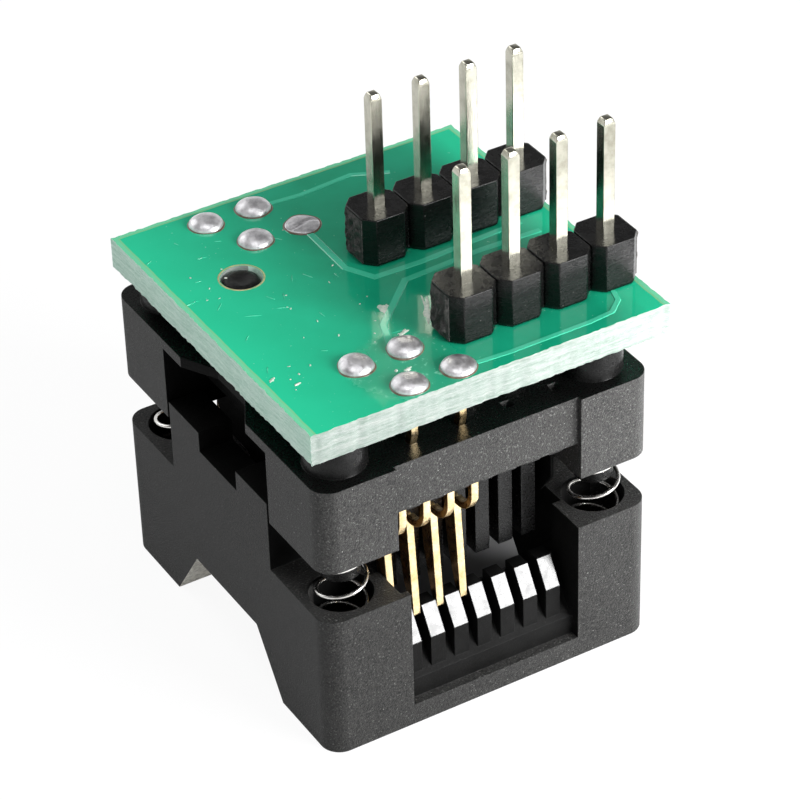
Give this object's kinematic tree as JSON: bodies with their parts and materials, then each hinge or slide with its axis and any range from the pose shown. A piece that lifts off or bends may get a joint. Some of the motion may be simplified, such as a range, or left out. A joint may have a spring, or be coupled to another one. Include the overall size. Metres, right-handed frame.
{
  "type": "ic socket adapter",
  "caption": "Small-outline chip test socket with a spring-loaded cover on a green board with two rows of header pins.",
  "frame": {"origin": "middle of the socket cover's resting face, on the socket's half-turn axis", "axes": "+Z from the cover's resting face to the header pins' tips; X along the rows of contacts and pins; -Y is the long side with the front row of header pins"},
  "size_m": [0.0189, 0.0196, 0.0265],
  "materials": {
    "board": "glossy green coating on a pale glass-fibre board",
    "header_plastic": "moulded, semi-matt black",
    "pin_metal": "bright nickel-tin plating",
    "solder": "bright solder",
    "cover_plastic": "fine-grained moulded black",
    "socket_plastic": "fine-grained moulded black",
    "spring_steel": "drawn wire",
    "contact_gold": "gold plating on a stamped strip"
  },
  "bodies": {
    "adapter": {"chip_nest": "socket_plastic", "circuit_board": "board", "contact_root_1": "contact_gold", "contact_root_2": "contact_gold", "contact_root_3": "contact_gold", "contact_root_4": "contact_gold", "contact_root_5": "contact_gold", "contact_root_6": "contact_gold", "contact_root_7": "contact_gold", "contact_root_8": "contact_gold", "contact_solder_joints": "solder", "cover_spring_1": "spring_steel", "cover_spring_2": "spring_steel", "cover_spring_3": "spring_steel", "cover_spring_4": "spring_steel", "header_pin_1": "pin_metal", "header_pin_2": "pin_metal", "header_pin_3": "pin_metal", "header_pin_4": "pin_metal", "header_pin_5": "pin_metal", "header_pin_6": "pin_metal", "header_pin_7": "pin_metal", "header_pin_8": "pin_metal", "header_solder_joints": "solder", "header_strip_front": "header_plastic", "header_strip_rear": "header_plastic", "socket_base": "socket_plastic"},
    "cover": {"socket_cover": "cover_plastic"},
    "front_levers": {"contact_lever_1": "contact_gold", "contact_lever_2": "contact_gold", "contact_lever_3": "contact_gold", "contact_lever_4": "contact_gold"},
    "rear_levers": {"contact_lever_5": "contact_gold", "contact_lever_6": "contact_gold", "contact_lever_7": "contact_gold", "contact_lever_8": "contact_gold"}
  },
  "joints": [
    {"name": "cover_press", "type": "slide", "parent": "adapter", "child": "cover", "axis": [0, 0, 1], "range_m": [0, 0.0027], "stiffness_N_per_m": 1000, "springref_m": -0.0045, "deforming": ["cover_spring_1", "cover_spring_2", "cover_spring_3", "cover_spring_4"]},
    {"name": "front_lever_swing", "type": "hinge", "parent": "adapter", "child": "front_levers", "pos_m": [0, -0.0075, 0.01015], "axis": [1, 0, 0], "range_deg": [-12.5, 0]},
    {"name": "rear_lever_swing", "type": "hinge", "parent": "adapter", "child": "rear_levers", "pos_m": [0, 0.0075, 0.01015], "axis": [1, 0, 0], "range_deg": [0, 12.5]}
  ],
  "couplings": [
    {"joint": "front_lever_swing", "follows": "cover_press", "rad_per_m": -80.7},
    {"joint": "rear_lever_swing", "follows": "cover_press", "rad_per_m": 80.7}
  ]
}
